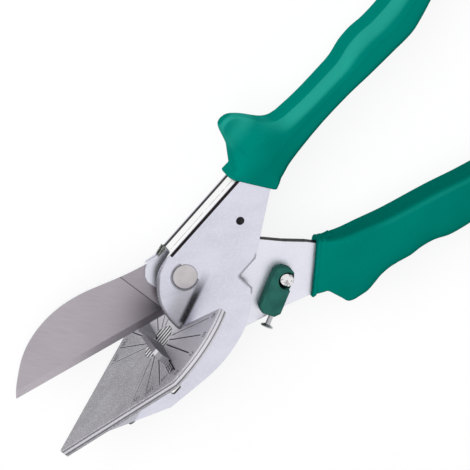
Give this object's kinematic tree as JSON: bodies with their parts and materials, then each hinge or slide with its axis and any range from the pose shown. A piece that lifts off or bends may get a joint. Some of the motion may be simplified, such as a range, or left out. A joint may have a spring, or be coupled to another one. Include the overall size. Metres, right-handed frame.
{
  "type": "mitre shears",
  "caption": "Hand-held mitre shears with a long curved blade, a leaf-shaped anvil with an angle scale, a swinging fence, two green moulded grips and a swinging latch.",
  "frame": {"origin": "middle of the hanging hole in the folded upper body, on the plane of the blade", "axes": "+X along the anvil's cut line towards the handles, +Y square to the anvil's face, +Z along the main pivot towards the pin's head"},
  "size_m": [0.2746, 0.1325, 0.086],
  "materials": {
    "bright_steel": "bright ground sheet steel",
    "anvil_steel": "fine-blasted grey steel",
    "dark_steel": "dark oiled steel",
    "pin_steel": "turned steel",
    "blade_steel": "ground blade steel",
    "fence_steel": "plain steel sheet",
    "chrome_screw": "bright plated",
    "grip_green": "glossy moulded green",
    "latch_green": "dark green enamel"
  },
  "bodies": {
    "upper_body": {"jaw_frame": "bright_steel", "upper_grip": "grip_green", "anvil": "anvil_steel", "anvil_carrier": "dark_steel", "anvil_screws": "dark_steel", "pivot_pin": "pin_steel", "pivot_ring": "dark_steel", "pivot_bush": "dark_steel", "front_washer": "dark_steel", "rear_washer": "dark_steel", "return_spring": "dark_steel"},
    "lever": {"front_lever_plate": "bright_steel", "rear_lever_plate": "bright_steel", "lever_core": "dark_steel", "lever_rivets": "pin_steel", "tail_spacers": "dark_steel", "tail_rivets": "pin_steel", "blade": "blade_steel", "blade_screws": "pin_steel", "spring_post": "pin_steel", "latch_screw": "chrome_screw", "latch_washer": "dark_steel", "lower_grip": "grip_green"},
    "fence": {"angle_fence": "fence_steel", "fence_washer": "dark_steel", "fence_nut": "dark_steel"},
    "latch": {"latch_lever": "latch_green", "latch_stud": "pin_steel"}
  },
  "joints": [
    {"name": "jaw_pivot", "type": "hinge", "parent": "upper_body", "child": "lever", "pos_m": [-0.0345, 0.0019, 0], "axis": [0, 0, 1], "range_deg": [0, 20], "stiffness_Nm_per_rad": 0.15, "springref_deg": -30},
    {"name": "fence_swing", "type": "hinge", "parent": "upper_body", "child": "fence", "pos_m": [-0.0656, -0.0125, 0], "axis": [0, 1, 0], "range_deg": [-45, 45]},
    {"name": "latch_swing", "type": "hinge", "parent": "lever", "child": "latch", "pos_m": [-0.00679, -0.03628, 0], "axis": [0, 0, 1], "range_deg": [-12, 45]}
  ]
}
